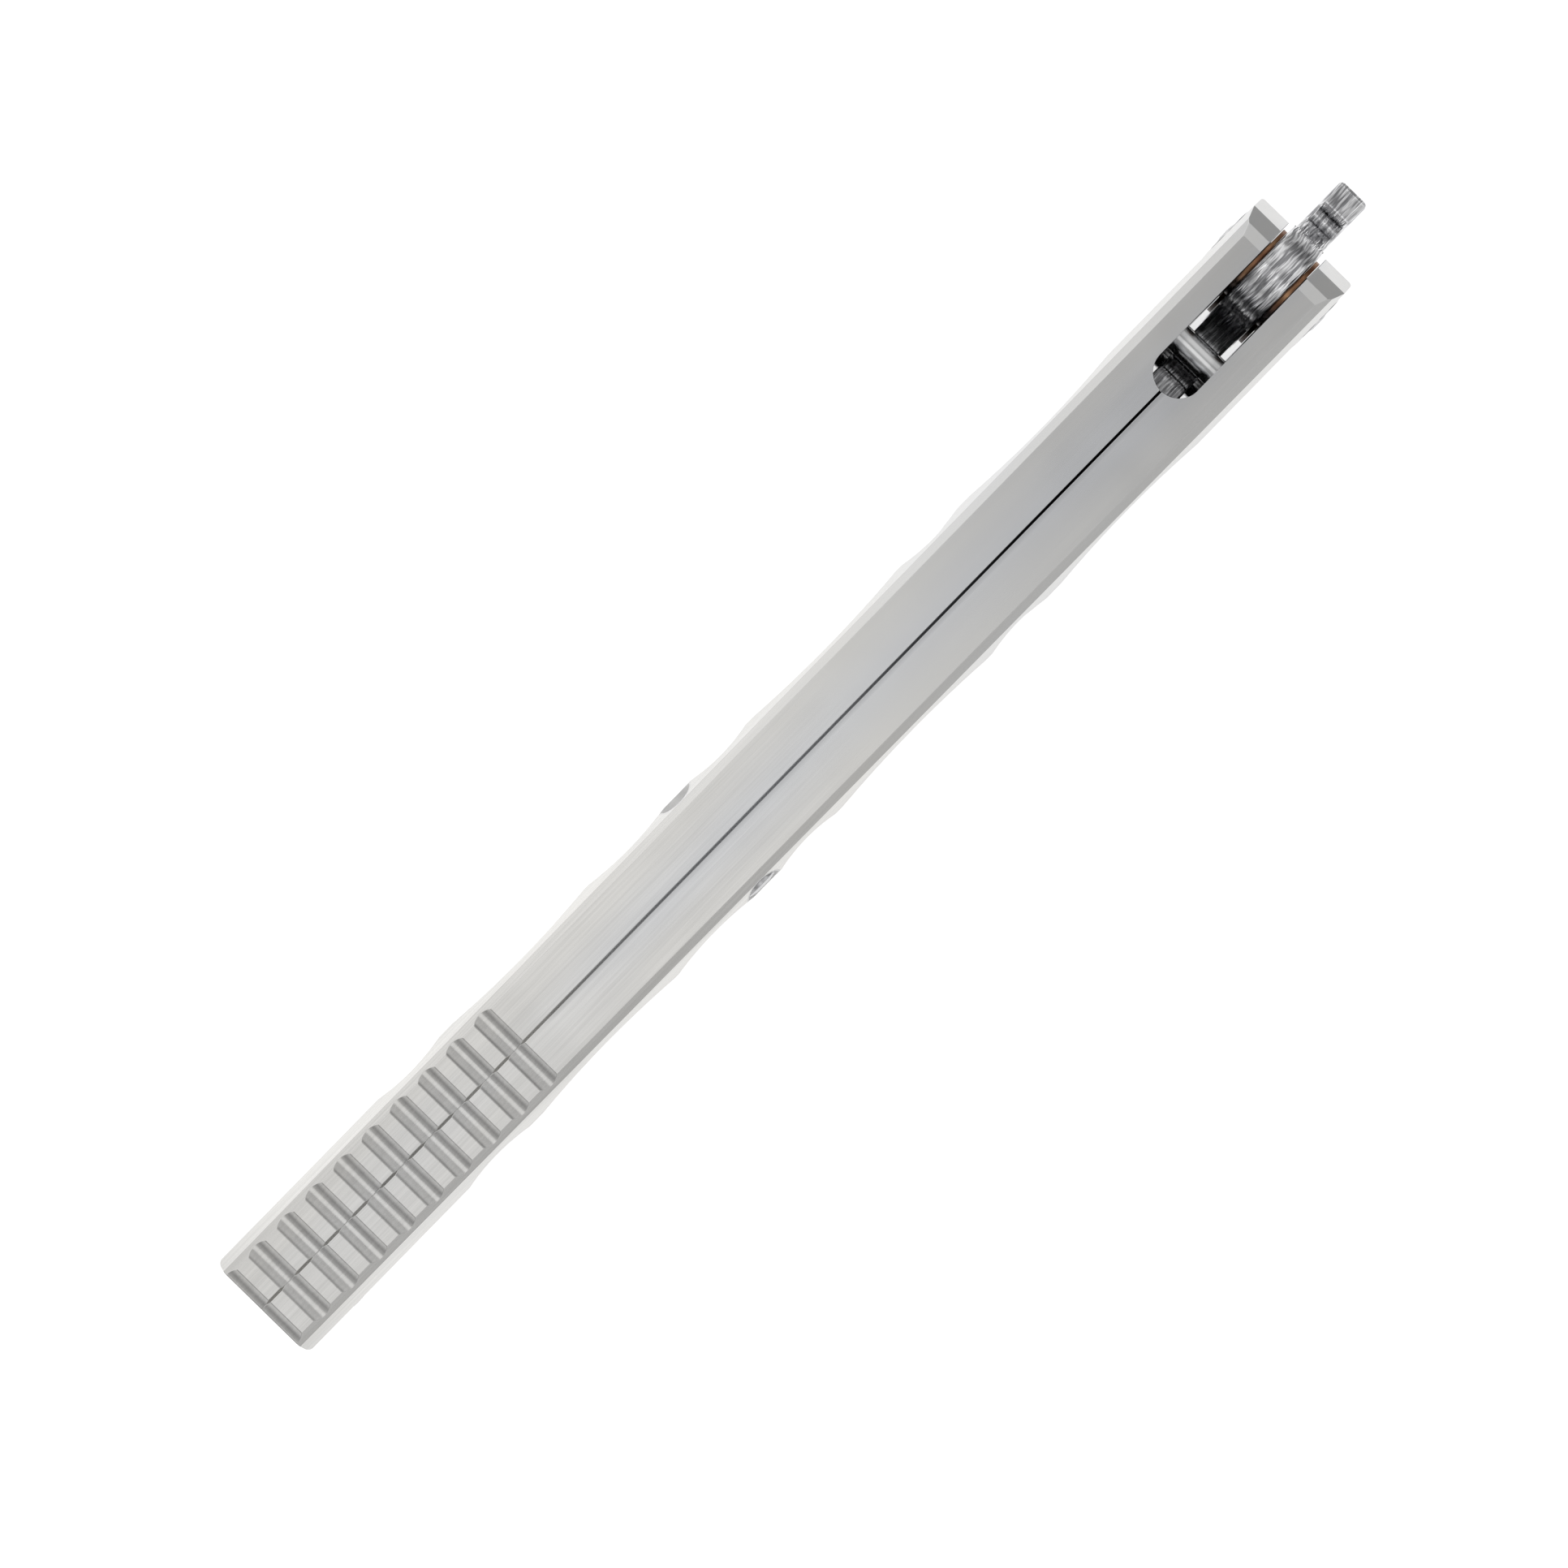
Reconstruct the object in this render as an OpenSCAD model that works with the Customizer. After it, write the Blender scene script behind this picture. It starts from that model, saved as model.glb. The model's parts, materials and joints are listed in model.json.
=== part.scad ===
// Two-handle folding trainer: a blunt perforated blade between two channel handles.
// Each handle is split along its spine and swings half a turn on its own tang pivot.
// Frame: X runs from the handle tails to the tang tab, Y across the thickness,
// Z from the lower handle's spine up to the upper handle's spine.

/* [Handles] */
// Distance from a pivot to the tail end of its handle
handle_tail = 139; // [125:1:150]
// Distance from a pivot to the nose end of its handle
handle_nose = 5; // [4.7:0.1:5.2]
// Depth of a handle from its spine to its pivot
spine_to_pivot = 6.8; // [6.5:0.05:6.85]
// Depth of a handle from its pivot to its inner edge
pivot_to_inner = 6.7; // [6.2:0.05:6.8]
// Thickness of a handle over both halves
handle_thick = 12.2; // [11.6:0.1:13]
// Distance between the two pivots
pivot_pitch = 14; // [14:0.1:15]
// Thickness of the web that closes the channel along the spine
spine_web = 4.4; // [4.2:0.1:5]
// Length of the solid block at the tail
tail_block = 12.5; // [10:0.5:16]
// Width of the channel that takes the blade
channel_w = 5; // [4.9:0.05:5.4]
// Distance from a pivot to the inner end of its open slot
slot_end = 16.5; // [15:0.1:18]

/* [Handle shape] */
// Width of the flat spine at the tail
spine_flat_tail = 8.6; // [8:0.1:9.4]
// Width of the flat spine at the nose
spine_flat_nose = 9.6; // [9:0.1:10]
// Size of the 45 degree chamfer beside the spine
spine_chamfer = 0.8; // [0.5:0.1:1]
// Slope of the long side bevel, from upright
bevel_slope = 20; // [15:1:30]
// Size of the chamfer on the inner edges
inner_chamfer = 0.6; // [0.3:0.1:0.8]
// Width of the V groove that marks the seam on the spine
seam_w = 0.3; // [0.1:0.02:0.4]
// Depth of the V groove that marks the seam on the spine
seam_depth = 0.32; // [0.2:0.02:0.5]
// Radius of the upright edges at the tail
tail_round = 0.5; // [0.3:0.1:1.2]
// Radius of the upright edges at the nose
nose_round = 0.4; // [0.2:0.1:0.6]
// Depth of the scallops in the side faces
scallop_depth = 0.38; // [0.2:0.02:0.5]

/* [Tail grip] */
// Number of whole grooves across the spine at the tail
grip_count = 9; // [5:1:10]
// Distance from one groove to the next
grip_pitch = 3.82; // [3.4:0.02:4.2]
// Radius of the grooves
grip_r = 1.75; // [1.6:0.05:2.1]
// Depth of the grooves
grip_depth = 0.4; // [0.3:0.02:0.5]

/* [Stop pins] */
// Distance from a pivot to its handle's stop pin
stop_x = 10.5; // [10.3:0.1:11]
// Diameter of the stop pins
stop_d = 3; // [2.8:0.1:3.2]
// Depth of the blind holes that hold the stop pins
stop_seat = 2.4; // [1.8:0.1:2.8]

/* [Tang and blade] */
// Thickness of the blade
blade_thick = 3.6; // [3.2:0.1:3.8]
// Thickness of the tang over its pivot bosses
boss_thick = 3.9; // [3.8:0.02:4]
// Radius of the pivot bosses
boss_r = 5.35; // [5.1:0.05:5.5]
// Distance from the pivots to the end of the tang tab
tab_reach = 12.1; // [11.6:0.1:13]
// Radius of the relief notches on both sides of the stop seats
relief_r = 0.8; // [0.5:0.1:0.85]
// Depth from a stop seat to the centres of its relief notches
relief_depth = 2.2; // [0.4:0.1:2.4]
// Distance from the pivots to the blade's shoulder
shoulder_x = 13.6; // [13.4:0.1:14.4]
// Room between the blade and the channel floor
blade_room = 0.6; // [0.4:0.1:1.2]
// Room between the blade's tip and the tail block
tip_room = 7; // [4:0.5:20]
// Width of the blunt edge
edge_w = 1.6; // [1.2:0.1:2.4]
// Height of the bevel above the blunt edge
edge_bevel_h = 6; // [4:0.5:7]
// Radius of the belly curve towards the tip
belly_r = 100; // [80:5:160]
// Rounding of the shoulders and the tip
blade_round = 1.25; // [0.75:0.25:2.5]
// Number of holes along the blade
hole_count = 6; // [4:1:7]
// Diameter of the blade's holes
hole_d = 7; // [5:0.5:7.5]
// Distance from one blade hole to the next
hole_pitch = 12.5; // [10:0.5:13]
// Distance from the pivots to the first blade hole
hole_start = 27; // [26:1:30]

/* [Pivots] */
// Diameter of the pivot barrels
barrel_d = 4.8; // [4.6:0.1:5]
// Thickness of the washers
washer_thick = 0.44; // [0.25:0.01:0.46]
// Diameter of the washers
washer_d = 8.4; // [8:0.1:9.4]
// Diameter of the pivot collars
collar_d = 5.9; // [5.7:0.1:6.4]
// Height of the pivot collars
collar_h = 1.5; // [1.2:0.1:1.7]
// How far the pivot collars stand proud of the handle sides
collar_proud = 0.12; // [0:0.02:0.2]
// Diameter of the pivot screws' heads
pivot_head_d = 3.5; // [3.2:0.1:4]
// Diameter of the pivot screws' shanks
pivot_shank_d = 2.5; // [2.2:0.1:2.8]
// How far the pivot screws' domes stand proud of the handle sides
dome_proud = 0.35; // [0.15:0.05:0.4]

/* [Handle fasteners] */
// Distance from a pivot to the middle screw
mid_screw_x = 76.9; // [70:0.5:85]
// Depth of the middle screw below the spine
mid_screw_depth = 3; // [2.9:0.05:3.2]
// Diameter of the middle screw's head
mid_head_d = 3.7; // [3.4:0.1:3.8]
// Depth of the middle screw's counterbores
mid_bore_depth = 0.9; // [0.8:0.1:1.2]
// Distance from the tail end to the tail screw
tail_screw_in = 6.4; // [5.5:0.1:8]
// Diameter of the tail screw's head
tail_head_d = 3; // [2.8:0.1:3.4]
// Diameter of the shallow recess round the tail screw
tail_recess_d = 5.6; // [5:0.1:6]
// Depth of the shallow recess round the tail screw
tail_recess_depth = 0.4; // [0.2:0.05:0.5]
// Diameter of the screws' shanks
shank_d = 2; // [1.8:0.1:2.1]
// Diameter of the locating dowels
dowel_d = 1.5; // [1.2:0.1:1.6]
// Length of the locating dowels
dowel_len = 5; // [4:0.5:6]
// Distances from a pivot to the locating dowels
dowel_x = [30, 104];

/* [Clearances] */
// Running clearance round the pivot barrels
run_gap = 0.05; // [0.02:0.01:0.1]
// Clearance round pins and screws in their holes
fit_gap = 0.02; // [0.01:0.01:0.05]
// Clearance between a stop pin and its seat
stop_gap = 0.05; // [0.03:0.01:0.1]

/* [Hidden] */
$fn = 48;

eps = 0.01;
cut = 1;
side_y = handle_thick / 2;
channel_y = channel_w / 2;
pivot_x = (handle_tail - tab_reach) / 2;
lower_z = spine_to_pivot;
upper_z = spine_to_pivot + pivot_pitch;
mid_z = spine_to_pivot + pivot_pitch / 2;

// Channel roof, measured from the pivot line
roof_z = spine_to_pivot - spine_web;
mid_screw_z = spine_to_pivot - mid_screw_depth;
dowel_z = spine_to_pivot - spine_web / 2;

// Nose corners from the spine on, as [share of the nose length, share of the depth]
nose_steps = [[-0.04, 1], [0.23, 0.93], [0.6, 0.69], [1, 0.03]];

// Scallops as [distance from the pivot, length]
scallops = [[17.4, 18.8], [38.1, 7.5], [46.5, 19.7], [67.1, 7.4],
            [78.3, 10.3], [89.2, 17.9], [109, 8.2]];

// Tang and blade
seat_z = pivot_pitch / 2 - stop_d / 2 - stop_gap;
relief_x = stop_x - stop_d / 2 - relief_r;
blade_half = pivot_pitch / 2 + roof_z - blade_room;
blade_reach = handle_tail - tail_block - tip_room;
belly_x = blade_reach * 0.62;
clip_x = blade_reach * 0.8;
edge_angle = atan((blade_thick - edge_w) / 2 / edge_bevel_h);
edge_start = shoulder_x + 9;

// Pivot stack, measured outwards from the middle plane
collar_y = side_y - collar_h;
barrel_end = collar_y + 0.3;
washer_y = boss_thick / 2 + (channel_y - boss_thick / 2 - washer_thick) / 3;

// ---------- Handles ----------

// Half cross-section on the +Y side: X is the offset from the seam, Y the height over the pivot
module half_section(flat) {
    edge = flat / 2 + spine_chamfer;
    bevel_drop = (side_y - edge) / tan(bevel_slope);
    polygon([
        [0, spine_to_pivot],
        [flat / 2, spine_to_pivot],
        [edge, spine_to_pivot - spine_chamfer],
        [side_y, spine_to_pivot - spine_chamfer - bevel_drop],
        [side_y, inner_chamfer - pivot_to_inner],
        [side_y - inner_chamfer, -pivot_to_inner],
        [0, -pivot_to_inner]
    ]);
}

module section_slice(x, flat) {
    translate([x, 0, 0])
        rotate([90, 0, 90])
            linear_extrude(eps)
                half_section(flat);
}

// Solid bar that tapers from the tail section to the nose section
module tapered_bar() {
    hull() {
        section_slice(-handle_tail, spine_flat_tail);
        section_slice(handle_nose - eps, spine_flat_nose);
    }
}

// Side outline of a handle: square tail, nose faceted round the pivot
module side_outline() {
    last = len(nose_steps) - 1;
    polygon(concat(
        [[-handle_tail, -pivot_to_inner], [-handle_tail, spine_to_pivot]],
        [for (s = nose_steps) [handle_nose * s[0], spine_to_pivot * s[1]]],
        [for (i = [last:-1:0]) [handle_nose * nose_steps[i][0], -pivot_to_inner * nose_steps[i][1]]]
    ));
}

// Plan outline of a half, with the upright edges rounded at both ends
module plan_outline() {
    difference() {
        translate([-handle_tail, 0])
            square([handle_tail + handle_nose, side_y + cut]);
        translate([-handle_tail, side_y])
            edge_round(tail_round);
        translate([handle_nose, side_y])
            mirror([1, 0])
                edge_round(nose_round);
    }
}

// What an outside corner loses when it is rounded; the corner is at the origin
module edge_round(r) {
    difference() {
        translate([-cut, -r])
            square([r + cut, r + 2 * cut]);
        translate([r, -r])
            circle(r = r);
        translate([r, -r - cut])
            square([cut, r + 4 * cut]);
    }
}

module across(d, from_y, to_y) {
    translate([0, to_y, 0])
        rotate([90, 0, 0])
            cylinder(d = d, h = to_y - from_y);
}

module spine_grooves() {
    for (i = [0:grip_count])
        translate([-handle_tail + i * grip_pitch, 0, spine_to_pivot + grip_r - grip_depth])
            across(2 * grip_r, -cut, side_y + cut);
}

module side_scallops() {
    for (s = scallops) {
        r = (s[1] * s[1] / 4 + scallop_depth * scallop_depth) / (2 * scallop_depth);
        translate([-s[0] - s[1] / 2, side_y - scallop_depth + r, -pivot_to_inner - cut])
            cylinder(r = r, h = spine_to_pivot + pivot_to_inner + 2 * cut, $fn = 360);
    }
}

// Blade channel below the web, with a round end at the tail block
module blade_channel() {
    channel_end = handle_tail - tail_block - channel_y;
    translate([-channel_end, -cut, -pivot_to_inner - cut])
        cube([channel_end + handle_nose + cut, channel_y + cut, pivot_to_inner + cut + roof_z]);
    translate([-channel_end, 0, -pivot_to_inner - cut])
        cylinder(r = channel_y, h = pivot_to_inner + cut + roof_z);
}

// Open slot through the web at the nose, round at its inner end
module nose_slot() {
    slot_x = slot_end - channel_y;
    slot_h = spine_web + 2 * cut;
    translate([-slot_x, -cut, roof_z - cut])
        cube([slot_x + handle_nose + cut, channel_y + cut, slot_h]);
    translate([-slot_x, 0, roof_z - cut])
        cylinder(r = channel_y, h = slot_h);
}

// Half of the V groove along the seam; its mouth runs on above the spine
module seam_groove() {
    mouth = seam_w / 2 * (1 + cut / seam_depth);
    translate([-handle_tail - cut, 0, spine_to_pivot])
        rotate([90, 0, 90])
            linear_extrude(handle_tail + handle_nose + 2 * cut)
                polygon([[0, -seam_depth], [mouth, cut], [-cut, cut], [-cut, -seam_depth]]);
}

// What both halves have in common, on the +Y side
module plain_half() {
    difference() {
        intersection() {
            tapered_bar();
            translate([0, side_y + cut, 0])
                rotate([90, 0, 0])
                    linear_extrude(side_y + 2 * cut)
                        side_outline();
            translate([0, 0, -pivot_to_inner - cut])
                linear_extrude(spine_to_pivot + pivot_to_inner + 2 * cut)
                    plan_outline();
        }
        spine_grooves();
        side_scallops();
        blade_channel();
        nose_slot();
        seam_groove();
        translate([-stop_x, 0, 0])
            across(stop_d + 2 * fit_gap, -cut, channel_y + stop_seat + fit_gap);
        across(barrel_d + 2 * fit_gap, -cut, side_y + cut);
        across(collar_d + 2 * fit_gap, collar_y, side_y + cut);
        for (x = dowel_x)
            translate([-x, 0, dowel_z])
                across(dowel_d + 2 * fit_gap, -cut, dowel_len / 2 + fit_gap);
        translate([-mid_screw_x, 0, mid_screw_z])
            across(mid_head_d + 0.3, side_y - mid_bore_depth, side_y + cut);
        translate([tail_screw_in - handle_tail, 0, 0])
            across(tail_recess_d, side_y - tail_recess_depth, side_y + cut);
    }
}

// The half that the middle and tail screws are threaded into
module threaded_half() {
    difference() {
        plain_half();
        screw_holes();
    }
}

// The half that carries the screws' heads
module head_half() {
    mirror([0, 1, 0])
        difference() {
            plain_half();
            screw_holes();
            translate([tail_screw_in - handle_tail, 0, 0])
                across(tail_head_d + 2 * fit_gap, side_y - mid_bore_depth, side_y + cut);
        }
}

module screw_holes() {
    translate([-mid_screw_x, 0, mid_screw_z])
        across(shank_d + 2 * fit_gap, -cut, side_y + cut);
    translate([tail_screw_in - handle_tail, 0, 0])
        across(shank_d + 2 * fit_gap, -cut, side_y + cut);
}

// ---------- Pins, washers and fasteners ----------

// Screw that points along +Y, with the underside of its head at the origin
module screw(head_d, head_h, dome_h, shank, len, key) {
    dome_r = (head_d * head_d / 4 + dome_h * dome_h) / (2 * dome_h);
    rotate([90, 0, 0])
        difference() {
            rotate_extrude() {
                translate([0, -len])
                    square([shank / 2, len + eps]);
                square([head_d / 2, head_h]);
                intersection() {
                    translate([0, head_h + dome_h - dome_r])
                        circle(r = dome_r, $fn = 180);
                    translate([0, head_h - eps])
                        square([head_d / 2, dome_h + cut]);
                }
            }
            translate([0, 0, head_h * 0.35])
                cylinder(d = key, h = head_h + dome_h, $fn = 6);
        }
}

module stop_pin() {
    half_len = channel_y + stop_seat;
    translate([-stop_x, 0, 0])
        across(stop_d, -half_len, half_len);
}

module pivot_barrel() {
    difference() {
        across(barrel_d, -barrel_end, barrel_end);
        across(pivot_shank_d + 2 * fit_gap, -side_y, side_y);
    }
}

// Ring that centres the barrel's end and frames the screw's head
module pivot_collar() {
    difference() {
        across(collar_d, collar_y, side_y + collar_proud);
        across(barrel_d + 2 * fit_gap, collar_y - cut, barrel_end + fit_gap);
        across(pivot_head_d + 2 * fit_gap, collar_y, side_y + cut);
    }
}

module pivot_screw() {
    head_h = side_y - barrel_end - 0.1;
    translate([0, barrel_end, 0])
        mirror([0, 1, 0])
            screw(pivot_head_d, head_h, dome_proud + 0.1, pivot_shank_d, barrel_end - 0.2, 1.6);
}

module washer() {
    difference() {
        across(washer_d, washer_y, washer_y + washer_thick);
        across(barrel_d + 2 * run_gap, washer_y - cut, washer_y + washer_thick + cut);
    }
}

module middle_screw() {
    head_h = mid_bore_depth - 0.35;
    shank_len = 2 * side_y - 2 * mid_bore_depth - 3;
    translate([-mid_screw_x, mid_bore_depth - side_y, mid_screw_z])
        screw(mid_head_d, head_h, 0.3, shank_d, shank_len, 1.7);
}

module tail_screw() {
    shank_len = 2 * side_y - mid_bore_depth - tail_recess_depth - 0.8;
    translate([tail_screw_in - handle_tail, mid_bore_depth - side_y, 0])
        screw(tail_head_d, mid_bore_depth - 0.35, 0.5, shank_d, shank_len, 1.3);
}

module dowels() {
    for (x = dowel_x)
        translate([-x, 0, dowel_z])
            across(dowel_d, -dowel_len / 2, dowel_len / 2);
}

// ---------- Blade ----------

// Blade outline with the pivots on X = 0; the edge is on the negative side
module blade_outline() {
    offset(r = blade_round)
        offset(r = -blade_round)
            difference() {
                union() {
                    translate([-belly_x, -blade_half])
                        square([belly_x - shoulder_x, 2 * blade_half]);
                    intersection() {
                        translate([-blade_reach, -blade_half])
                            square([blade_reach - shoulder_x - blade_half, 2 * blade_half]);
                        translate([-belly_x, belly_r - blade_half])
                            circle(r = belly_r, $fn = 360);
                    }
                }
                translate([-clip_x, blade_half])
                    rotate(180 + atan(blade_half / (blade_reach - clip_x)) * 0.75)
                        translate([0, -blade_half * 3])
                            square([blade_reach, blade_half * 3]);
            }
}

// Upper outline of the tang on one side: steep flank, stop seat, and a relief notch at the seat's root
module tang_arm_half(reach) {
    neck_z = seat_z - relief_depth;
    difference() {
        polygon([
            [0, -eps], [0, pivot_pitch / 2], [boss_r - 0.05, pivot_pitch / 2 - 0.2],
            [relief_x - relief_r, neck_z], [relief_x, neck_z], [relief_x, seat_z],
            [reach, seat_z], [reach, -eps]
        ]);
        relief_notch(relief_x);
    }
}

// Round-bottomed notch cut down from the level of a stop seat
module relief_notch(x) {
    translate([x, seat_z - relief_depth])
        circle(r = relief_r);
    translate([x - relief_r, seat_z - relief_depth])
        square([2 * relief_r, relief_depth + cut / 2]);
}

// One side of the tang, from the pivots out to the stop seats
module tang_arm(reach) {
    tang_arm_half(reach);
    mirror([0, 1])
        tang_arm_half(reach);
}

module blade_plate(outline_thick) {
    translate([0, outline_thick / 2, 0])
        rotate([90, 0, 0])
            linear_extrude(outline_thick)
                children();
}

// Wedge that is taken off one face to leave the blunt edge
module edge_wedge() {
    translate([-blade_reach - cut, edge_w / 2, -blade_half])
        rotate([-edge_angle, 0, 0])
            translate([0, 0, -3 * cut])
                cube([blade_reach + cut - edge_start, blade_thick, edge_bevel_h * 1.02 + 3 * cut]);
}

module blade_body() {
    difference() {
        union() {
            blade_plate(blade_thick)
                blade_outline();
            blade_plate(blade_thick) {
                tang_arm(tab_reach);
                mirror([1, 0])
                    difference() {
                        tang_arm(shoulder_x + blade_round);
                        for (s = [0, 1])
                            mirror([0, s])
                                relief_notch(shoulder_x - relief_r);
                    }
            }
            for (s = [-1, 1])
                translate([0, 0, s * pivot_pitch / 2])
                    across(2 * boss_r, -boss_thick / 2, boss_thick / 2);
        }
        edge_wedge();
        mirror([0, 1, 0])
            edge_wedge();
        for (s = [-1, 1])
            translate([0, 0, s * pivot_pitch / 2])
                across(barrel_d + 2 * run_gap, -boss_thick, boss_thick);
        for (i = [0:hole_count - 1])
            translate([-hole_start - i * hole_pitch, 0, 1])
                across(hole_d, -boss_thick, boss_thick);
    }
}

// ---------- Placing ----------

module in_upper() {
    translate([pivot_x, 0, upper_z])
        children();
}

module in_lower() {
    translate([pivot_x, 0, lower_z])
        mirror([0, 0, 1])
            children();
}

module both_sides() {
    children();
    mirror([0, 1, 0])
        children();
}

module trainer_blade() {
    color("silver")
        translate([pivot_x, 0, mid_z])
            blade_body();
}

module upper_left_half() { color("gainsboro") in_upper() threaded_half(); }
module upper_right_half() { color("lightgrey") in_upper() head_half(); }
module upper_stop_pin() { color("whitesmoke") in_upper() stop_pin(); }
module upper_pivot_barrel() { color("silver") in_upper() pivot_barrel(); }
module upper_pivot_collars() { color("silver") in_upper() both_sides() pivot_collar(); }
module upper_pivot_screws() { color("gray") in_upper() both_sides() pivot_screw(); }
module upper_left_washer() { color("peru") in_upper() washer(); }
module upper_right_washer() { color("peru") in_upper() mirror([0, 1, 0]) washer(); }
module upper_middle_screw() { color("gray") in_upper() middle_screw(); }
module upper_tail_screw() { color("gray") in_upper() tail_screw(); }
module upper_dowels() { color("silver") in_upper() dowels(); }

module lower_left_half() { color("gainsboro") in_lower() threaded_half(); }
module lower_right_half() { color("lightgrey") in_lower() head_half(); }
module lower_stop_pin() { color("whitesmoke") in_lower() stop_pin(); }
module lower_pivot_barrel() { color("silver") in_lower() pivot_barrel(); }
module lower_pivot_collars() { color("silver") in_lower() both_sides() pivot_collar(); }
module lower_pivot_screws() { color("gray") in_lower() both_sides() pivot_screw(); }
module lower_left_washer() { color("peru") in_lower() washer(); }
module lower_right_washer() { color("peru") in_lower() mirror([0, 1, 0]) washer(); }
module lower_middle_screw() { color("gray") in_lower() middle_screw(); }
module lower_tail_screw() { color("gray") in_lower() tail_screw(); }
module lower_dowels() { color("silver") in_lower() dowels(); }

trainer_blade();
upper_left_half();
upper_right_half();
upper_stop_pin();
upper_pivot_barrel();
upper_pivot_collars();
upper_pivot_screws();
upper_left_washer();
upper_right_washer();
upper_middle_screw();
upper_tail_screw();
upper_dowels();
lower_left_half();
lower_right_half();
lower_stop_pin();
lower_pivot_barrel();
lower_pivot_collars();
lower_pivot_screws();
lower_left_washer();
lower_right_washer();
lower_middle_screw();
lower_tail_screw();
lower_dowels();
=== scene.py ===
"""Finishes, worked edges and a plain studio for a two-handle folding trainer."""

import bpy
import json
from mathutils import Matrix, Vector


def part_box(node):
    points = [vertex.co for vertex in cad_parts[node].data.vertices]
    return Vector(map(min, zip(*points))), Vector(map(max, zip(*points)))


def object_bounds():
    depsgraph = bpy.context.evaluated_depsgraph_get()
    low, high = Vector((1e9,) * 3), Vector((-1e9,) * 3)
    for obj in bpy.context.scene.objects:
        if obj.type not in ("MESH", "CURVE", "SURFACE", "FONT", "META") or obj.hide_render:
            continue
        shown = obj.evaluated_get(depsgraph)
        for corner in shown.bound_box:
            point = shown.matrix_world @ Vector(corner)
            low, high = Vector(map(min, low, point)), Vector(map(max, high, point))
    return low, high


bl_info = {
    "name": "Folding Trainer Finish",
    "version": (1, 0, 0),
    "blender": (4, 5, 0),
    "location": "3D View > Sidebar > Trainer",
    "description": "Dresses the pieces of a two-handle folding trainer and sets its studio",
    "category": "Object",
}

import json
import math

import bpy
from bpy.props import FloatProperty, FloatVectorProperty, PointerProperty
from mathutils import Matrix, Vector

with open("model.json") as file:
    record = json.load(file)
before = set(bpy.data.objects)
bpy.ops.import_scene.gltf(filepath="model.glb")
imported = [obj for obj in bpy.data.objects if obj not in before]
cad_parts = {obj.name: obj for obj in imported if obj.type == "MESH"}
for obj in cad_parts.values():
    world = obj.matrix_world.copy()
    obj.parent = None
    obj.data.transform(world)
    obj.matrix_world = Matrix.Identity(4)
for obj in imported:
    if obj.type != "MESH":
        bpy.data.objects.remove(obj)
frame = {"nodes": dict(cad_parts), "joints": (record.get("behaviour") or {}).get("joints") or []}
CAD_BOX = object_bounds()

MM = 0.001
HANDLES = ("upper", "lower")
PIVOT = Vector(next(j for j in frame["joints"] if j["name"] == "upper_pivot")["pos_m"])
WHITE = (1.0, 1.0, 1.0, 1.0)


# ---------------------------------------------------------------- settings


def colour(name, description, default):
    return FloatVectorProperty(
        name=name, description=description, default=default,
        subtype="COLOR", size=3, min=0.0, max=1.0,
    )


def length(name, description, default):
    return FloatProperty(
        name=name, description=description, default=default,
        unit="LENGTH", subtype="DISTANCE", min=0.0, precision=5,
    )


def angle(name, description, degrees):
    return FloatProperty(
        name=name, description=description, default=math.radians(degrees), subtype="ANGLE",
    )


def amount(name, description, default, top=10.0):
    return FloatProperty(
        name=name, description=description, default=default, min=0.0, max=top,
    )


class TrainerFinish(bpy.types.PropertyGroup):
    """Colours and surface sizes of the trainer"""

    handle_warm: colour("Handle warm", "Warm tone of the satin handles", (0.741, 0.731, 0.708))
    handle_cool: colour("Handle cool", "Cool tone of the satin handles", (0.705, 0.713, 0.729))
    blade_light: colour("Blade light", "Light tone of the ground blade", (0.90, 0.90, 0.91))
    blade_dark: colour("Blade dark", "Dark tone of the ground blade", (0.32, 0.32, 0.33))
    # Painted shade: the dark tone towards which the tang's notch and seat and the washers behind
    # the pivots are darkened.
    shade_tone: colour("Grime", "Old oil in the deep parts of the tang", (0.06, 0.06, 0.06))
    # Painted light: the counterbores' walls are lightened towards this tone; their rougher finish
    # is real.
    lit_bore_tone: colour("Bore", "Dull wall of the middle screws' counterbores", (0.90, 0.90, 0.90))
    pin_tone: colour("Pin", "Colour of the polished pins and barrels", (0.80, 0.80, 0.80))
    screw_tone: colour("Screw", "Colour of the screws", (0.66, 0.66, 0.67))
    bronze_bright: colour("Bronze bright", "Rubbed bronze of the washers", (0.62, 0.36, 0.20))
    bronze_dark: colour("Bronze dark", "Darkened bronze of the washers", (0.20, 0.09, 0.05))
    handle_edge: length("Handle edge", "Rounding of the handles' worked edges", 0.06 * MM)
    # Painted shade: half width of the dark line painted along the seam.
    joint_shade: length("Joint dirt", "Half width of the dark line where the halves meet", 0.17 * MM)
    brushing: amount("Brushing", "How much the fine lines change the tone at the tails", 0.10, 0.5)
    blade_edge: length("Blade edge", "Rounding of the tang's edges", 0.5 * MM)
    small_edge: length("Small edge", "Rounding of pins, rings and screw heads", 0.06 * MM)
    tang_reach: length("Tang reach", "Length of the tang behind the pivots", 15.0 * MM)
    handle_rough: amount("Handle roughness", "Roughness of the satin handles", 0.22, 1.0)
    blade_rough: amount("Blade roughness", "Roughness of the ground blade", 0.15, 1.0)
    pin_rough: amount("Pin roughness", "Roughness of the polished pins", 0.19, 1.0)
    middle: length(
        "Middle height", "Height of the plane between the handles",
        (CAD_BOX[0].z + CAD_BOX[1].z) / 2,
    )


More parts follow.
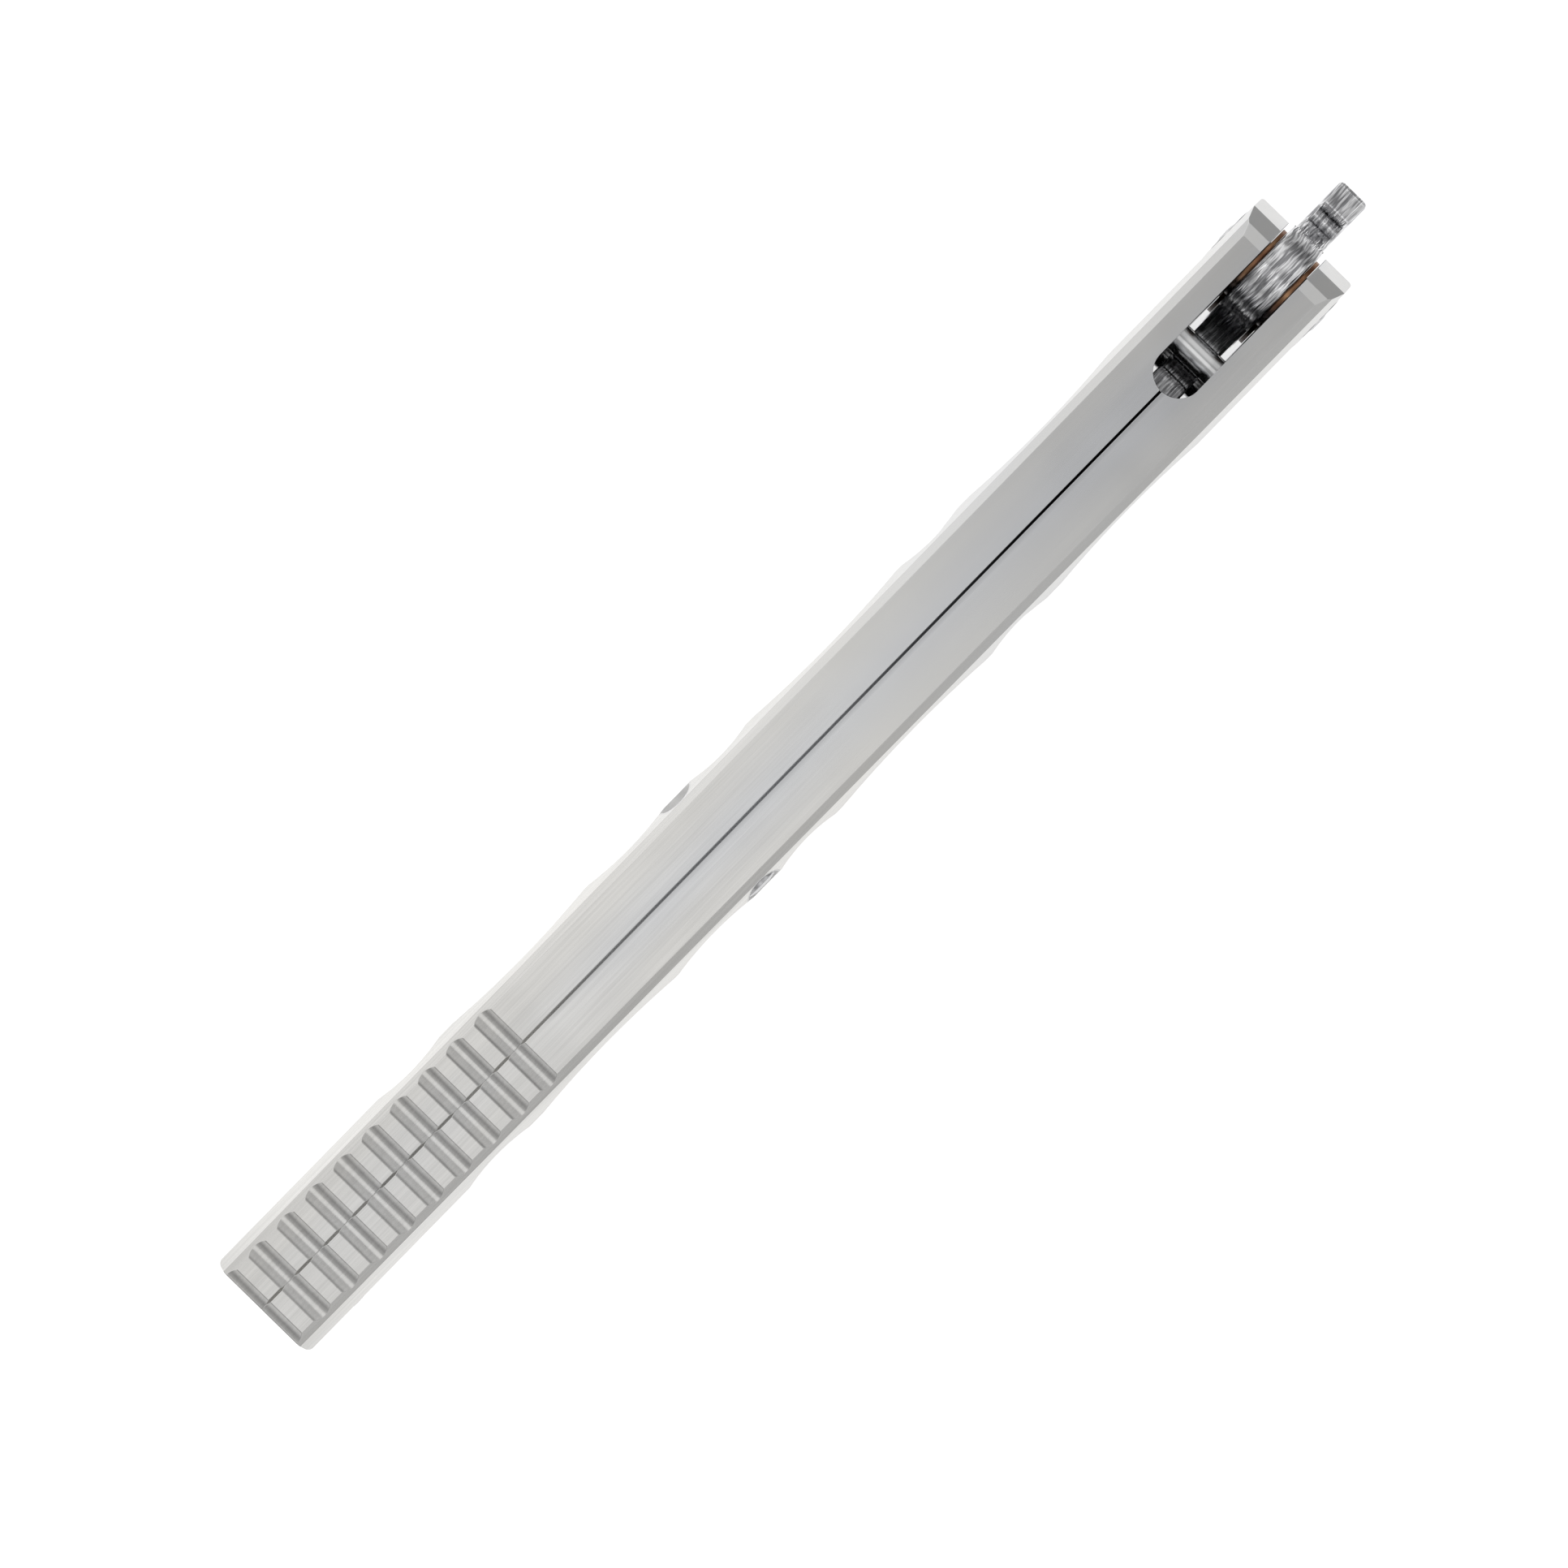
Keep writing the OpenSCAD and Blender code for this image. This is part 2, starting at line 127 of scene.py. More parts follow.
class TrainerStudio(bpy.types.PropertyGroup):
    """Camera, floor and light"""

    focal: length("Focal length", "Focal length on a 36 mm sensor", 0.1133)
    height: length("Camera height", "Camera above the upper spine", 0.470)
    foot: length("Camera foot", "Camera's foot, from the pivots towards the tails", 0.0878)
    lean: angle("Lean", "Lean of the camera towards the pivots", 2.33)
    tip: angle("Tip", "Small tip of the camera across the handles", 0.066)
    roll: angle("Roll", "Turn of the picture round the view axis", 45.6)
    floor_half: length("Floor half width", "Half the width of the floor", 0.6)
    floor_glow: amount("Floor glow", "How much the paper adds where it is seen", 0.72, 2.0)
    box_height: length("Soft box height", "Height of the overhead soft box", 1.2)
    box_near: angle("Soft box near edge", "Edge of the soft box towards the pivots", 8.0)
    box_far: angle("Soft box far edge", "Edge of the soft box towards the tails", -17)
    box_light: amount("Soft box light", "Brightness of the soft box", 0.485, 5.0)


# ---------------------------------------------------------------- node helpers


class Graph:
    """A node tree with short calls for adding and joining nodes."""

    def __init__(self, tree):
        self.tree = tree

    def join(self, value, socket):
        """Joins another node's output to a socket, or sets the socket to a plain value."""
        if isinstance(value, bpy.types.NodeSocket):
            self.tree.links.new(value, socket)
        else:
            socket.default_value = value

    def add(self, kind, inputs=None, **settings):
        node = self.tree.nodes.new(kind)
        for name, value in settings.items():
            setattr(node, name, value)
        for name, value in (inputs or {}).items():
            self.join(value, node.inputs[name])
        return node

    def math(self, operation, a, b=0.0, clamp=False):
        return self.add(
            "ShaderNodeMath", {0: a, 1: b}, operation=operation, use_clamp=clamp
        ).outputs[0]

    def plus(self, a, b, clamp=False):
        return self.math("ADD", a, b, clamp)

    def minus(self, a, b):
        return self.math("SUBTRACT", a, b)

    def times(self, a, b, clamp=False):
        return self.math("MULTIPLY", a, b, clamp)

    def larger(self, a, b):
        return self.math("MAXIMUM", a, b)

    def size_of(self, value):
        return self.math("ABSOLUTE", value)

    def remap(self, value, low, high, at_low=0.0, at_high=1.0, smooth=False):
        return self.add(
            "ShaderNodeMapRange",
            {
                "Value": value, "From Min": low, "From Max": high,
                "To Min": at_low, "To Max": at_high,
            },
            interpolation_type="SMOOTHSTEP" if smooth else "LINEAR",
        ).outputs["Result"]

    def mix(self, factor, a, b):
        """Colour a where the factor is 0, and colour b where it is 1."""
        node = self.add("ShaderNodeMix", data_type="RGBA")
        sockets = (node.inputs[0], node.inputs[6], node.inputs[7])
        for socket, value in zip(sockets, (factor, a, b)):
            plain = not isinstance(value, bpy.types.NodeSocket)
            self.join((*value, 1.0) if plain and socket.type == "RGBA" else value, socket)
        return node.outputs[2]

    def noise(self, vector, detail=2.0, roughness=0.5):
        return self.add(
            "ShaderNodeTexNoise",
            {"Vector": vector, "Scale": 1.0, "Detail": detail, "Roughness": roughness},
        ).outputs["Fac"]

    def stretched(self, vector, scale):
        return self.add(
            "ShaderNodeVectorMath", {0: vector, 1: scale}, operation="MULTIPLY"
        ).outputs[0]

    def vector(self, **parts):
        return self.add("ShaderNodeCombineXYZ", parts).outputs[0]

    def parts(self, vector):
        return self.add("ShaderNodeSeparateXYZ", {0: vector}).outputs

    def coordinates(self, kind="Object"):
        return self.add("ShaderNodeTexCoord").outputs[kind]

    def place(self):
        """X, Y and Z of the point in the part's own frame."""
        return self.parts(self.coordinates())


def new_group(name, inputs, outputs):
    """An empty shader node group with float inputs and the named outputs."""
    tree = bpy.data.node_groups.new(name, "ShaderNodeTree")
    for socket, default in inputs.items():
        made = tree.interface.new_socket(socket, in_out="INPUT", socket_type="NodeSocketFloat")
        made.default_value = default
    for socket in outputs:
        tree.interface.new_socket(socket, in_out="OUTPUT", socket_type="NodeSocketFloat")
    graph = Graph(tree)
    return tree, graph, graph.add("NodeGroupInput").outputs, graph.add("NodeGroupOutput").inputs


def place_group(graph, tree, **inputs):
    """Places a shared node group in a material, with the material's own values."""
    node = graph.add("ShaderNodeGroup")
    node.node_tree = tree
    for name, value in inputs.items():
        graph.join(value, node.inputs[name.capitalize()])
    return node.outputs


# ---------------------------------------------------------------- shared effects


COARSE_LINES = (0.4, 0.17, 0.17)  # counts of the coarse lines, as shares of the fine ones
SLOW_PATCHES = (0.6, 3.0, 3.0)
SMUDGE_PATCHES = (3.0, 5.0, 5.0)
SWAY_COUNT = (300.0, 220.0, 300.0)  # bends of the streaks per metre
BROAD_STREAKS = (0.6, 0.5, 0.6)


def lines_group(title):
    """Fine parallel tool lines along X; the counts are per metre."""
    tree, g, given, out = new_group(title, {"Across": 4000.0, "Along": 60.0}, ("Tone", "Height"))
    scale = g.vector(X=given["Along"], Y=given["Across"], Z=given["Across"])
    counted = g.stretched(g.coordinates(), scale)
    fine = g.noise(counted, detail=3.0, roughness=0.6)
    coarse = g.noise(g.stretched(counted, COARSE_LINES), detail=2.0)
    g.join(g.plus(g.times(fine, 0.6), g.times(coarse, 0.4)), out["Tone"])
    g.join(fine, out["Height"])
    return tree


def mottle_group(title):
    """Slow changes of tone over the surface, such as handling leaves."""
    tree, g, given, out = new_group(title, {"Count": 60.0}, ("Tone", "Smudge"))
    scale = g.vector(X=given["Count"], Y=given["Count"], Z=given["Count"])
    counted = g.stretched(g.coordinates(), scale)
    slow = g.noise(g.stretched(counted, SLOW_PATCHES), detail=2.0)
    blotch = g.noise(g.stretched(counted, SMUDGE_PATCHES), detail=1.0)
    g.join(g.remap(slow, 0.35, 0.65, smooth=True), out["Tone"])
    g.join(g.remap(blotch, 0.35, 0.7), out["Smudge"])
    return tree


def streak_group(title):
    """Hand-ground streaks that run along X over the edges of a plate, and sway a little."""
    tree, g, given, out = new_group(
        title, {"Across": 3000.0, "Along": 320.0, "Sway": 1.2}, ("Tone", "Height")
    )
    place = g.coordinates()
    scale = g.vector(X=given["Along"], Y=given["Across"], Z=given["Along"])
    sway = g.times(g.noise(g.stretched(place, SWAY_COUNT), detail=1.0), given["Sway"])
    bent = g.add(
        "ShaderNodeVectorMath",
        {0: g.stretched(place, scale), 1: g.vector(Y=sway)},
        operation="ADD",
    ).outputs[0]
    broad = g.noise(g.stretched(bent, BROAD_STREAKS), detail=1.0)
    fine = g.noise(bent, detail=1.0)
    tone = g.plus(g.times(broad, 0.25), g.times(fine, 0.75))
    g.join(g.remap(tone, 0.43, 0.58), out["Tone"])
    g.join(g.plus(g.times(broad, 0.45), g.times(fine, 0.55)), out["Height"])
    return tree


SHARED_GROUPS = {
    "lines": ("Tool lines", lines_group),
    "mottle": ("Mottle", mottle_group),
    "streaks": ("Grinding streaks", streak_group),
}


def shared_groups():
    """The shared node groups by their short names, each built only once."""
    return {
        key: bpy.data.node_groups.get(title) or make(title)
        for key, (title, make) in SHARED_GROUPS.items()
    }


# ---------------------------------------------------------------- materials


# Counts per metre of each metal's tool lines, grinding streaks and mottle
HANDLE_LINES = {"across": 4200.0, "along": 75.0}
BLADE_LINES = {"across": 2600.0, "along": 70.0}
BLADE_STREAKS = {"across": 4600.0, "along": 400.0, "sway": 2.4}
PIN_LINES = {"across": 2600.0, "along": 900.0}
SCREW_LINES = {"across": 3000.0, "along": 3000.0}
WASHER_LINES = {"across": 2600.0, "along": 400.0}
HANDLE_MOTTLE = 45.0
SCREW_MOTTLE = 300.0
WASHER_MOTTLE = 220.0

# Strength of each metal's bump, and its depth in millimetres
HANDLE_BUMP = (0.12, 0.002)
BLADE_BUMP = (1.0, 0.35)
PIN_BUMP = (0.2, 0.003)
SCREW_BUMP = (0.3, 0.004)
WASHER_BUMP = (0.4, 0.006)

# Where the handles' finish and painted shade change: from, to, the value at each
# ... along X
COOL_PAST_GRIP = (-44.0 * MM, -28.0 * MM, 0.15, 0.75)
COOL_NOSE = (0.0, 35.0 * MM, 0.0, 0.45)
# Painted shade in the seam, faint at the tails and strong near the pivots.
SEAM_SHADE_KEPT = (-5.0 * MM, 38.0 * MM, 0.12, 0.9)
# Painted shade on the grip's groove walls.
SHADE_IN_GRIP = (-38.0 * MM, -36.0 * MM, 0.22, 0.0)
PAST_GRIP = (-38.0 * MM, -36.0 * MM, 0.0, 1.0)
BRUSHED = (-14.0 * MM, 6.0 * MM, 1.0, 0.15)
# ... with the distance from the seam
COOL_SEAM = (0.5 * MM, 3.8 * MM, 1.0, 0.0)
# Painted shade along the right edge beside the seam.
RIGHT_EDGE_SHADE = (0.1 * MM, 0.65 * MM, 0.22, 0.0)
# ... with the way the surface faces along X, which tells a groove's wall from the lands
# The groove walls that face the noses get painted shade.
GROOVE_WALL = (0.1, 0.3, 0.18, 1.0)
# ... with the distance from the axis of the middle screw
IN_BORE = (2.2 * MM, 2.3 * MM, 1.0, 0.0)

# Where the blade's finish changes: from, to, the value at each
# ... along X from the pivots
# The masks below place painted shade in the tang's deep notch and on its seat, where the slot
# shades them.
BEFORE_BOSS = (-5.0 * MM, -2.5 * MM, 1.0, 0.0)
ON_SEAT = (-13.6 * MM, -13.0 * MM, 0.45, 0.0)
ON_TANG = (-17.5 * MM, -15.5 * MM, 0.0, 1.0)
# ... with the height from the middle between the handles
NOTCH_SHADE = (3.0 * MM, 6.0 * MM, 0.25, 0.0)
# ... with the way the surface faces across the blade
FLAT_SIDE = (0.75, 0.97, 0.0, 1.0)

# Where painted shade darkens the washers behind the pivots, along X from the pivots
SHADED_WASHER = (-3.6 * MM, -1.6 * MM, 0.9, 0.0)

LINE_SPREAD = (0.3, 0.7)  # tones of the tool lines that hold nearly all of them


def new_material(name):
    material = bpy.data.materials.new(name)
    material.use_nodes = True
    material.node_tree.nodes.clear()
    return material, Graph(material.node_tree)


def finish_metal(graph, base, roughness, height, bump_strength, bump_mm):
    """Joins a metal shader to its worked-out colour, roughness and bump height."""
    bump = graph.add(
        "ShaderNodeBump",
        {"Height": height, "Strength": bump_strength, "Distance": bump_mm * MM},
    ).outputs[0]
    shader = graph.add(
        "ShaderNodeBsdfPrincipled",
        {"Base Color": base, "Roughness": roughness, "Metallic": 1.0, "Normal": bump},
    )
    graph.add("ShaderNodeOutputMaterial", {"Surface": shader.outputs[0]})


def dimmed(tone, share):
    return [part * share for part in tone]


def handle_tint(look, g, place, mottle):
    """Colour of the handles: cool beside the seam and at the noses, warm elsewhere."""
    from_seam = g.size_of(place["Y"])
    cool_seam = g.times(g.remap(from_seam, *COOL_SEAM), g.remap(place["X"], *COOL_PAST_GRIP))
    uneven = g.remap(mottle["Tone"], 0.0, 1.0, -0.15, 0.15)
    cool = g.plus(cool_seam, g.plus(g.remap(place["X"], *COOL_NOSE), uneven), clamp=True)
    return g.mix(cool, look.handle_warm, look.handle_cool)


def handle_painted_shade(look, g, place):
    """Painted shade on the handles: in the seam, along its right edge and on the grooves' walls
    that face the noses.
    """
    from_seam = g.size_of(place["Y"])
    # Painted shade in the seam between the halves, over its real V groove.
    in_seam = g.remap(from_seam, 0.5 * look.joint_shade, look.joint_shade, 1.0, 0.0, smooth=True)
    seam_shade = g.times(in_seam, g.remap(place["X"], *SEAM_SHADE_KEPT, smooth=True))
    # Painted shade on the groove walls that face the noses: one side darker as the light falls.
    facing = g.parts(g.coordinates("Normal"))["X"]
    groove_wall = g.remap(facing, *GROOVE_WALL, smooth=True)
    groove_shade = g.times(groove_wall, g.remap(place["X"], *SHADE_IN_GRIP))
    # Painted shade along the seam's right edge, where its rounded edge turns from the light.
    on_right = g.math("LESS_THAN", place["Y"], 0.0)
    right_edge = g.times(g.remap(from_seam, *RIGHT_EDGE_SHADE), on_right)
    edge_shade = g.times(right_edge, g.remap(place["X"], *PAST_GRIP))
    return g.larger(g.larger(seam_shade, groove_shade), edge_shade)


def screw_bore(look, g, place):
    """1 inside the counterbore of the middle screw, where the drill left a dull wall and the colour
    is painted lighter.
    """
    low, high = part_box("upper_middle_screw")
    along = g.minus(place["X"], (low.x + high.x) / 2)
    from_middle = g.size_of(g.minus(place["Z"], look.middle))
    up = g.minus(from_middle, (low.z + high.z) / 2 - look.middle)
    apart = g.math("SQRT", g.plus(g.times(along, along), g.times(up, up)))
    return g.remap(apart, *IN_BORE)


def satin_steel(look, groups):
    """Satin steel of the handles, brushed towards the tails, with painted shade in the seam, on the
    grooves' nose-facing walls and along the seam's right edge.
    """
    material, g = new_material("Satin handle steel")
    lines = place_group(g, groups["lines"], **HANDLE_LINES)
    mottle = place_group(g, groups["mottle"], count=HANDLE_MOTTLE)
    place = g.place()

    tint = handle_tint(look, g, place, mottle)
    brushed = g.times(g.remap(place["X"], *BRUSHED), look.brushing)
    line = g.times(g.remap(lines["Tone"], *LINE_SPREAD, -1.0, 1.0), brushed)
    # The tool lines and the painted shade in the seam, on the groove walls and along the right edge
    # darken the tint.
    shade = g.times(g.plus(line, 1.0), g.minus(1.0, handle_painted_shade(look, g, place)))
    steel = g.stretched(tint, g.vector(X=shade, Y=shade, Z=shade))
    in_bore = screw_bore(look, g, place)
    # Painted light: the counterbore's wall is lightened towards the bore tone, beside its real
    # rougher finish.
    base = g.mix(g.times(in_bore, 0.7), steel, look.lit_bore_tone)

    worn = g.plus(g.times(lines["Tone"], 0.05), g.times(mottle["Smudge"], 0.04))
    rough = g.plus(worn, g.remap(in_bore, 0.0, 1.0, look.handle_rough - 0.025, 0.6))
    finish_metal(g, base, rough, lines["Height"], *HANDLE_BUMP)
    return material


def ground_steel(look, groups):
    """Ground steel: streaks over the tang's edges, straight fine lines on the flat sides, and
    painted shade in the tang's notch and on its seat.
    """
    material, g = new_material("Ground blade steel")
    streaks = place_group(g, groups["streaks"], **BLADE_STREAKS)
    lines = place_group(g, groups["lines"], **BLADE_LINES)
    place = g.place()
    from_pivot = g.minus(place["X"], PIVOT.x)
    from_middle = g.size_of(g.minus(place["Z"], look.middle))
    facing = g.parts(g.add("ShaderNodeNewGeometry").outputs["True Normal"])["Y"]
    flat_side = g.remap(g.size_of(facing), *FLAT_SIDE, smooth=True)
    edge_side = g.minus(1.0, flat_side)

    edge_tone = g.times(streaks["Tone"], edge_side)
    side_tone = g.times(g.remap(lines["Tone"], *LINE_SPREAD, 0.25, 0.75), flat_side)
    steel = g.mix(g.plus(edge_tone, side_tone), look.blade_dark, look.blade_light)

    # Painted shade: the deep notch beside the boss and the seat are darkened towards the shade
    # tone, standing in for the slot's shadow.
    in_notch = g.times(
        g.remap(from_middle, *NOTCH_SHADE, smooth=True),
        g.remap(from_pivot, *BEFORE_BOSS, smooth=True),
    )
    on_seat = g.remap(from_pivot, *ON_SEAT, smooth=True)
    on_tang = g.remap(from_pivot, *ON_TANG, smooth=True)
    base = g.mix(g.times(g.larger(in_notch, on_seat), on_tang), steel, look.shade_tone)

    shine = g.remap(lines["Tone"], 0.0, 1.0, look.blade_rough - 0.06, look.blade_rough + 0.06)
    rough = g.plus(shine, g.times(g.times(in_notch, on_tang), 1.1))
    dents = g.times(g.minus(streaks["Height"], 0.5), edge_side)
    height = g.plus(dents, g.times(lines["Height"], 0.012))
    finish_metal(g, base, rough, height, *BLADE_BUMP)
    return material


def polished_steel(look, groups):
    """Ground and polished steel of the pins, barrels and collars."""
    material, g = new_material("Polished pin steel")
    lines = place_group(g, groups["lines"], **PIN_LINES)
    base = g.mix(lines["Tone"], dimmed(look.pin_tone, 0.92), look.pin_tone)
    rough = g.plus(g.times(lines["Tone"], 0.08), look.pin_rough - 0.04)
    finish_metal(g, base, rough, lines["Height"], *PIN_BUMP)
    return material


def screw_steel(look, groups):
    """Slightly mottled steel of the screws."""
    material, g = new_material("Screw steel")
    lines = place_group(g, groups["lines"], **SCREW_LINES)
    mottle = place_group(g, groups["mottle"], count=SCREW_MOTTLE)
    base = g.mix(mottle["Tone"], dimmed(look.screw_tone, 0.8), look.screw_tone)
    rough = g.plus(g.times(mottle["Smudge"], 0.12), 0.22)
    finish_metal(g, base, rough, lines["Height"], *SCREW_BUMP)
    return material


def rubbed_bronze(look, groups):
    """Bronze of the washers: rubbed bright in places, with painted shade behind the pivots."""
    material, g = new_material("Rubbed bronze")
    lines = place_group(g, groups["lines"], **WASHER_LINES)
    mottle = place_group(g, groups["mottle"], count=WASHER_MOTTLE)
    rubbed = g.times(mottle["Tone"], g.remap(lines["Tone"], 0.35, 0.6), clamp=True)
    bronze = g.mix(rubbed, look.bronze_dark, look.bronze_bright)
    from_pivot = g.minus(g.place()["X"], PIVOT.x)
    # Painted shade: the washers behind the pivots are darkened towards the shade tone.
    base = g.mix(g.remap(from_pivot, *SHADED_WASHER, smooth=True), bronze, look.shade_tone)
    rough = g.plus(g.times(mottle["Smudge"], 0.15), 0.26)
    finish_metal(g, base, rough, lines["Height"], *WASHER_BUMP)
    return material


# ---------------------------------------------------------------- pieces


SHARP_DEGREES = 28.0  # least turn between two faces that counts as a worked edge
FLAT_DEGREES = 0.2  # faces that turn less than this are one face
HARDWARE_JOIN = 0.002 * MM
HANDLE_JOIN = 0.05 * MM
BLADE_JOIN = 0.03 * MM
BLADE_REST = 0.3  # rounding of the blade in front of the tang, as a share of the tang's


def give_material(names, material):
    for name in names:
        for slot in frame["nodes"][name].material_slots:
            slot.material = material


def join_corners(node, reach):
    """Joins the corners that the file splits and the slivers shorter than the reach."""
    weld = node.modifiers.new("Join corners", "WELD")
    weld.merge_threshold = reach
    flat = node.modifiers.new("Whole faces", "DECIMATE")
    flat.decimate_type = "DISSOLVE"
    flat.angle_limit = math.radians(FLAT_DEGREES)


def bevel_edges(node, width, segments, limit, clamp):
    bevel = node.modifiers.new("Worked edges", "BEVEL")
    bevel.width = width
    bevel.segments = segments
    bevel.limit_method = limit
    bevel.angle_limit = math.radians(SHARP_DEGREES)
    bevel.use_clamp_overlap = clamp


def round_edges(names, width, segments=2, join=HARDWARE_JOIN, clamp=True):
    """Rounds every sharp edge of the named nodes by the same width."""
    for name in names:
        join_corners(frame["nodes"][name], join)
        bevel_edges(frame["nodes"][name], width, segments, "ANGLE", clamp)


def outline_choice(tang_x, rest_share):
    """Geometry nodes that weigh a plate's outer edges for the bevel, fully past tang_x."""
    tree = bpy.data.node_groups.new("Outline choice", "GeometryNodeTree")
    for way in ("INPUT", "OUTPUT"):
        tree.interface.new_socket("Geometry", in_out=way, socket_type="NodeSocketGeometry")
    g = Graph(tree)
    place = g.parts(g.add("GeometryNodeInputPosition").outputs[0])
    turn = g.add("GeometryNodeInputMeshEdgeAngle").outputs["Signed Angle"]
    outer = g.math("GREATER_THAN", turn, math.radians(SHARP_DEGREES))
    at_tang = g.math("GREATER_THAN", place["X"], tang_x)
    store = g.add(
        "GeometryNodeStoreNamedAttribute",
        {
            "Geometry": g.add("NodeGroupInput").outputs[0],
            "Name": "bevel_weight_edge",
            "Value": g.times(outer, g.larger(at_tang, rest_share)),
        },
        domain="EDGE", data_type="FLOAT",
    )
    g.join(store.outputs[0], g.add("NodeGroupOutput").inputs[0])
    return tree


def names_of(*endings):
    """The named nodes of both handles."""
    return [f"{handle}_{ending}" for handle in HANDLES for ending in endings]


class TRAINER_OT_handles(bpy.types.Operator):
    """Give the four handle halves their satin steel and worked edges"""

    bl_idname = "trainer.handles"
    bl_label = "Dress Handles"

    def execute(self, context):
        look = context.scene.trainer_finish
        halves = names_of("left_half", "right_half")
        give_material(halves, satin_steel(look, shared_groups()))
        round_edges(halves, look.handle_edge, segments=3, join=HANDLE_JOIN, clamp=False)
        return {"FINISHED"}


class TRAINER_OT_blade(bpy.types.Operator):
    """Give the blade and its tang their ground steel and rounded edges"""

    bl_idname = "trainer.blade"
    bl_label = "Dress Blade"

    def execute(self, context):
        look = context.scene.trainer_finish
        give_material(["trainer_blade"], ground_steel(look, shared_groups()))
        blade = frame["nodes"]["trainer_blade"]
        join_corners(blade, BLADE_JOIN)
        choice = blade.modifiers.new("Outline choice", "NODES")
        choice.node_group = outline_choice(PIVOT.x - look.tang_reach, BLADE_REST)
        bevel_edges(blade, look.blade_edge, 5, "WEIGHT", clamp=False)
        return {"FINISHED"}


class TRAINER_OT_pins(bpy.types.Operator):
    """Give the stop pins, barrels, collars and dowels their polish"""

    bl_idname = "trainer.pins"
    bl_label = "Dress Pins and Barrels"

    def execute(self, context):
        look = context.scene.trainer_finish
        pins = names_of("stop_pin", "pivot_barrel", "pivot_collars", "dowels")
        give_material(pins, polished_steel(look, shared_groups()))
        round_edges(pins, look.small_edge)
        return {"FINISHED"}


class TRAINER_OT_screws(bpy.types.Operator):
    """Give the screws their steel and soften the rims of their heads"""

    bl_idname = "trainer.screws"
    bl_label = "Dress Screws"

    def execute(self, context):
        look = context.scene.trainer_finish
        screws = names_of("pivot_screws", "middle_screw", "tail_screw")
        give_material(screws, screw_steel(look, shared_groups()))
        round_edges(screws, look.small_edge)
        return {"FINISHED"}


class TRAINER_OT_washers(bpy.types.Operator):
    """Give the four washers beside the tang their rubbed bronze"""

    bl_idname = "trainer.washers"
    bl_label = "Dress Washers"

    def execute(self, context):
        look = context.scene.trainer_finish
        washers = names_of("left_washer", "right_washer")
        give_material(washers, rubbed_bronze(look, shared_groups()))
        round_edges(washers, look.small_edge)
        return {"FINISHED"}


# ---------------------------------------------------------------- studio


SENSOR_MM = 36.0
PAPER = (0.80, 0.80, 0.80, 1.0)
BOX_SIDE = 1.5  # width of the soft box across the handles, as a share of its height

# Where the mirrored floor fades: from, to, the value at each
# ... in half lengths of the trainer
POOL_PAST_TAILS = (-1.5, -0.85, 0.0, 1.0)
POOL_PAST_NOSES = (0.9, 1.7, 1.0, 0.0)
POOL_PAST_SIDE = (-1.6, -0.5, 0.0, 1.0)
# ... in metres across the handles
POOL_RIGHT_SIDE = (-10.0 * MM, 5.0 * MM, 0.79, 0.88)

# The grey room, by the way that the light comes from: from, to, the value at each
# ... along the handles: the tones of three parts of the ceiling, and where one takes over
TAIL_TONE = (-0.93, -0.66, 0.66, 0.27)
MIDDLE_TONE = (0.20, 0.44, 0.42, 0.70)
NOSE_TONE = (0.74, 0.92, 0.74, 0.23)
TAIL_SHARE = (-0.7, -0.45, 1.0, 0.0)
NOSE_SHARE = (0.35, 0.75, 0.0, 1.0)
# ... across the handles: the tone of the walls, and where they take over
WALL_TONE = (-0.75, 0.75, 0.57, 0.87)
WALL_SHARE = (0.35, 0.80, 0.0, 1.0)


def sheet_mesh(name, half):
    """A flat square at floor level."""
    mesh = bpy.data.meshes.new(name)
    mesh.from_pydata(
        [(-half, -half, 0.0), (half, -half, 0.0), (half, half, 0.0), (-half, half, 0.0)],
        [], [(0, 1, 2, 3)],
    )
    made = bpy.data.objects.new(name, mesh)
    bpy.context.scene.collection.objects.link(made)
    return made


def light_pool(g):
    """How bright metal mirrors the floor: most near the trainer, fading past its ends."""
    place = g.place()
    reach = CAD_BOX[1].x
    along = g.math("DIVIDE", place["X"], reach)
    across = g.math("DIVIDE", place["Y"], reach)
    past_end = g.times(
        g.remap(along, *POOL_PAST_TAILS, smooth=True),
        g.remap(along, *POOL_PAST_NOSES, smooth=True),
    )
    past_side = g.remap(across, *POOL_PAST_SIDE, smooth=True)
    right_side = g.remap(place["Y"], *POOL_RIGHT_SIDE, smooth=True)
    return g.times(past_end, g.times(past_side, right_side))


def floor_material(studio):
    """White paper that glows where it is seen, so it stays white and keeps a shadow."""
    material, g = new_material("Paper floor")
    paper = g.add("ShaderNodeBsdfDiffuse", {"Color": PAPER})
    rays = g.add("ShaderNodeLightPath").outputs
    mirrored = g.larger(rays["Is Glossy Ray"], rays["Is Transmission Ray"])
    seen = g.larger(rays["Is Camera Ray"], g.times(mirrored, light_pool(g)))
    glow = g.add(
        "ShaderNodeEmission", {"Color": WHITE, "Strength": g.times(seen, studio.floor_glow)}
    )
    both = g.add("ShaderNodeAddShader", {0: paper.outputs[0], 1: glow.outputs[0]})
    g.add("ShaderNodeOutputMaterial", {"Surface": both.outputs[0]})
    return material


